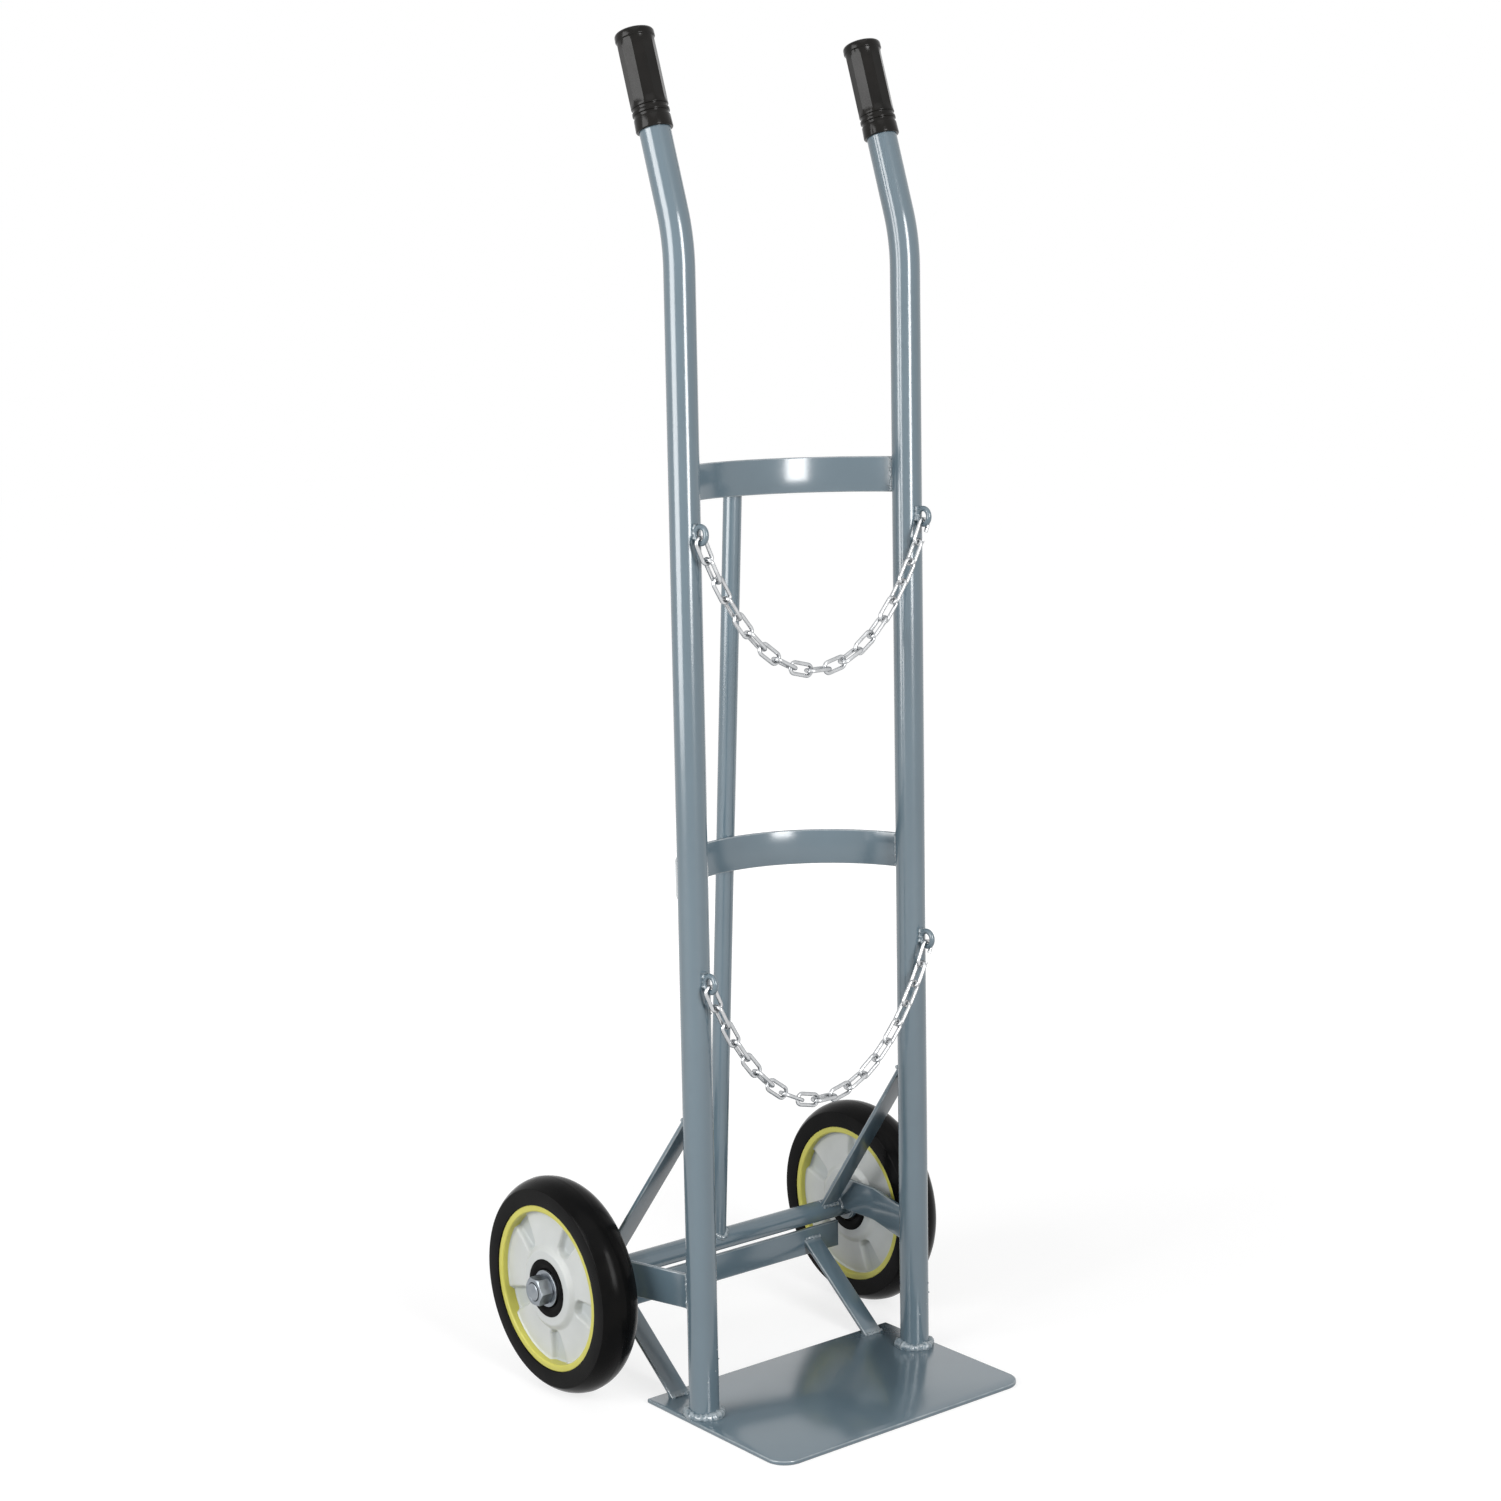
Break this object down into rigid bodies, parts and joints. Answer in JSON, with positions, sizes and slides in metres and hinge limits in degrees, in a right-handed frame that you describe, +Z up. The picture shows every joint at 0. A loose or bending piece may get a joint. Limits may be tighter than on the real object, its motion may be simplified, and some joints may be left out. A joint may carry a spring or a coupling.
{
  "type": "gas cylinder trolley",
  "caption": "Hand trolley of welded steel tube with a toe plate, curved cradle bands and hook-on chains for a tall round load, rubber grips and ball-bearing wheels.",
  "frame": {"origin": "on the floor under the toe plate, midway between the feet of the uprights", "axes": "+X across the trolley, -Y the way the toe plate points, +Y towards the wheels, +Z up along the uprights"},
  "size_m": [0.425, 0.371, 1.214],
  "materials": {
    "frame_paint": "glossy",
    "grip_rubber": "satin",
    "tyre_rubber": "satin",
    "rim_plastic": "satin",
    "hub_plastic": "satin",
    "seal_rubber": "matte",
    "bearing_steel": "polished",
    "zinc": "zinc plated"
  },
  "bodies": {
    "frame": {"base_plate": "frame_paint", "left_upright": "frame_paint", "right_upright": "frame_paint", "left_grip": "grip_rubber", "right_grip": "grip_rubber", "upper_band": "frame_paint", "middle_band": "frame_paint", "back_post": "frame_paint", "axle": "frame_paint", "axle_rib": "frame_paint", "left_axle_arm": "frame_paint", "right_axle_arm": "frame_paint", "left_upper_stay": "frame_paint", "right_upper_stay": "frame_paint", "left_lower_stay": "frame_paint", "right_lower_stay": "frame_paint", "upper_chain_eyes": "frame_paint", "lower_chain_eyes": "frame_paint", "foot_welds": "frame_paint", "left_bearing_inner_rings": "bearing_steel", "left_bearing_spacer": "zinc", "left_axle_collar": "frame_paint", "left_washer": "zinc", "left_axle_nut": "zinc", "right_bearing_inner_rings": "bearing_steel", "right_bearing_spacer": "zinc", "right_axle_collar": "frame_paint", "right_washer": "zinc", "right_axle_nut": "zinc"},
    "left_wheel": {"left_tyre": "tyre_rubber", "left_rim": "rim_plastic", "left_hub": "hub_plastic", "left_bearing_outer_rings": "bearing_steel", "left_bearing_seals": "seal_rubber"},
    "left_balls": {"left_bearing_balls": "bearing_steel"},
    "right_wheel": {"right_tyre": "tyre_rubber", "right_rim": "rim_plastic", "right_hub": "hub_plastic", "right_bearing_outer_rings": "bearing_steel", "right_bearing_seals": "seal_rubber"},
    "right_balls": {"right_bearing_balls": "bearing_steel"},
    "upper_chain": {"upper_chain_links": "zinc", "upper_chain_hook": "zinc"},
    "lower_chain": {"lower_chain_links": "zinc", "lower_chain_hook": "zinc"}
  },
  "joints": [
    {"name": "left_wheel_spin", "type": "hinge", "parent": "frame", "child": "left_wheel", "pos_m": [-0.18, 0.14, 0.1], "axis": [1, 0, 0], "continuous": true},
    {"name": "left_ball_orbit", "type": "hinge", "parent": "frame", "child": "left_balls", "pos_m": [-0.18, 0.14, 0.1], "axis": [1, 0, 0], "continuous": true},
    {"name": "right_wheel_spin", "type": "hinge", "parent": "frame", "child": "right_wheel", "pos_m": [0.18, 0.14, 0.1], "axis": [1, 0, 0], "continuous": true},
    {"name": "right_ball_orbit", "type": "hinge", "parent": "frame", "child": "right_balls", "pos_m": [0.18, 0.14, 0.1], "axis": [1, 0, 0], "continuous": true},
    {"name": "upper_chain_swing", "type": "hinge", "parent": "frame", "child": "upper_chain", "pos_m": [0, -0.022, 0.79], "axis": [-1, 0, 0], "range_deg": [-8, 110]},
    {"name": "lower_chain_swing", "type": "hinge", "parent": "frame", "child": "lower_chain", "pos_m": [0, -0.022, 0.402], "axis": [-1, 0, 0], "range_deg": [-8, 110]}
  ],
  "couplings": [
    {"joint": "left_ball_orbit", "follows": "left_wheel_spin", "ratio": 0.6104},
    {"joint": "right_ball_orbit", "follows": "right_wheel_spin", "ratio": 0.6104}
  ]
}
